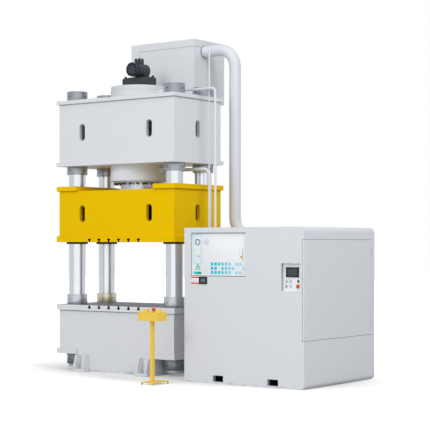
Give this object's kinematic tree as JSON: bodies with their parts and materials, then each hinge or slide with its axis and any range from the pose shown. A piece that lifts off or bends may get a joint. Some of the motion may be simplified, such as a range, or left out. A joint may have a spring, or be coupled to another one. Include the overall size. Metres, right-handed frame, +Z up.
{
  "type": "hydraulic press",
  "caption": "Upright column-type hydraulic press with a yellow moving beam, top-mounted cylinder and oil tank, separate power cabinet with a side door, and a free-standing palm-button pedestal.",
  "frame": {"origin": "on the floor, on the press's centreline midway between its four columns", "axes": "+X to the right along the beams, towards the power cabinet; -Y to the front; +Z up"},
  "size_m": [4.6605, 2.954, 5.029],
  "materials": {
    "press_paint": "satin paint",
    "slide_paint": "satin paint",
    "cabinet_paint": "fine textured powder coat",
    "pipe_paint": "gloss paint",
    "base_paint": "matt paint",
    "panel_paint": "smooth paint",
    "pedestal_paint": "satin paint",
    "valve_paint": "dark satin paint",
    "pack_paint": "satin paint",
    "motor_paint": "satin paint",
    "machined_steel": "ground",
    "nut_steel": "turned",
    "tray_paint": "smooth paint",
    "manifold_steel": "machined",
    "column_chrome": "hard chrome, ground",
    "ram_chrome": "hard chrome, ground",
    "bush_bronze": "machined bronze",
    "display_plastic": "matt moulding",
    "screen_glass": "gloss front",
    "button_black": "gloss moulding",
    "button_green": "gloss moulding",
    "palm_yellow": "gloss moulding",
    "button_pale": "gloss moulding",
    "stop_red": "gloss moulding"
  },
  "bodies": {
    "frame": {"crown": "press_paint", "bed": "press_paint", "bolster": "machined_steel", "column_front_left": "column_chrome", "column_front_right": "column_chrome", "column_rear_left": "column_chrome", "column_rear_right": "column_chrome", "crown_nuts": "nut_steel", "bed_nuts": "nut_steel", "cylinder": "press_paint", "cylinder_cap": "press_paint", "gland": "nut_steel", "valve_block": "valve_paint", "valve_body": "valve_paint", "valve_pilot": "valve_paint", "tank": "press_paint", "tank_brackets": "press_paint", "duct": "pipe_paint", "pipe_head": "pipe_paint", "pipe_return": "pipe_paint", "pipe_vent": "pipe_paint", "pipe_blocks": "nut_steel", "cabinet_shell": "cabinet_paint", "cabinet_front": "cabinet_paint", "cabinet_back": "cabinet_paint", "cabinet_base": "base_paint", "info_panel": "panel_paint", "display": "display_plastic", "control_tray": "tray_paint", "screen": "screen_glass", "hinge_pins": "nut_steel", "power_tank": "pack_paint", "power_motor": "motor_paint", "power_manifold": "manifold_steel", "pedestal_stand": "pedestal_paint", "pedestal_box": "pedestal_paint", "pedestal_guards": "pedestal_paint", "bed_feet": "press_paint"},
    "slide": {"slide": "slide_paint", "slide_end_plates": "slide_paint", "guide_bushes": "bush_bronze", "ram": "ram_chrome"},
    "door": {"cabinet_door": "cabinet_paint"},
    "button_left": {"button_left": "button_pale"},
    "button_right": {"button_right": "button_pale"},
    "button_green": {"button_green": "button_green"},
    "button_lower": {"button_lower": "button_pale"},
    "selector": {"selector": "button_black"},
    "panel_stop": {"panel_stop": "stop_red"},
    "palm_left": {"palm_left": "palm_yellow"},
    "palm_right": {"palm_right": "palm_yellow"},
    "pedestal_stop": {"pedestal_stop": "stop_red"}
  },
  "joints": [
    {"name": "slide_stroke", "type": "slide", "parent": "frame", "child": "slide", "axis": [0, 0, -1], "range_m": [0, 0.75]},
    {"name": "cabinet_door", "type": "hinge", "parent": "frame", "child": "door", "pos_m": [3.5135, 0.884, 1.3025], "axis": [0, 0, 1], "range_deg": [0, 110]},
    {"name": "button_left_push", "type": "slide", "parent": "frame", "child": "button_left", "axis": [0, 1, 0], "range_m": [0, 0.004], "stiffness_N_per_m": 500, "springref_m": -0.004},
    {"name": "button_right_push", "type": "slide", "parent": "frame", "child": "button_right", "axis": [0, 1, 0], "range_m": [0, 0.004], "stiffness_N_per_m": 500, "springref_m": -0.004},
    {"name": "button_green_push", "type": "slide", "parent": "frame", "child": "button_green", "axis": [0, 1, 0], "range_m": [0, 0.004], "stiffness_N_per_m": 500, "springref_m": -0.004},
    {"name": "button_lower_push", "type": "slide", "parent": "frame", "child": "button_lower", "axis": [0, 1, 0], "range_m": [0, 0.004], "stiffness_N_per_m": 500, "springref_m": -0.004},
    {"name": "selector_turn", "type": "hinge", "parent": "frame", "child": "selector", "pos_m": [3.387, -0.831, 1.418], "axis": [0, -1, 0], "range_deg": [-45, 45]},
    {"name": "panel_stop_push", "type": "slide", "parent": "frame", "child": "panel_stop", "axis": [0, 1, 0], "range_m": [0, 0.006]},
    {"name": "palm_left_push", "type": "slide", "parent": "frame", "child": "palm_left", "axis": [0, 0, -1], "range_m": [0, 0.008], "stiffness_N_per_m": 800, "springref_m": -0.01},
    {"name": "palm_right_push", "type": "slide", "parent": "frame", "child": "palm_right", "axis": [0, 0, -1], "range_m": [0, 0.008], "stiffness_N_per_m": 800, "springref_m": -0.01},
    {"name": "pedestal_stop_push", "type": "slide", "parent": "frame", "child": "pedestal_stop", "axis": [0, 0, -1], "range_m": [0, 0.006]}
  ]
}
